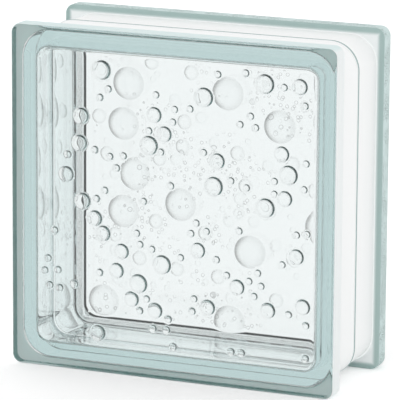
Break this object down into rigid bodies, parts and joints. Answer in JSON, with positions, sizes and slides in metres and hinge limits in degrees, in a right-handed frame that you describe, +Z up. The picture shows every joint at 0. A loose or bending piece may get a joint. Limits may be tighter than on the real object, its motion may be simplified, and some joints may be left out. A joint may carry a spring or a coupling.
{
  "type": "glass block",
  "caption": "Hollow square glass block for walls, with two face flanges, a mortar channel round all four sides and a bubble relief inside both panes.",
  "frame": {"origin": "middle of the block's base, at the foot of the two bed flanges", "axes": "+Z up as the block stands in a wall, +Y through the block from the front pane to the back pane, +X across it to the right as seen from the front"},
  "size_m": [0.19, 0.08, 0.19],
  "materials": {
    "glass": "clear pressed soda-lime glass with a faint blue-green tint in the thick edges, fire polished outside, bubble relief inside"
  },
  "bodies": {
    "root": {"glass_block": "glass"}
  },
  "joints": []
}
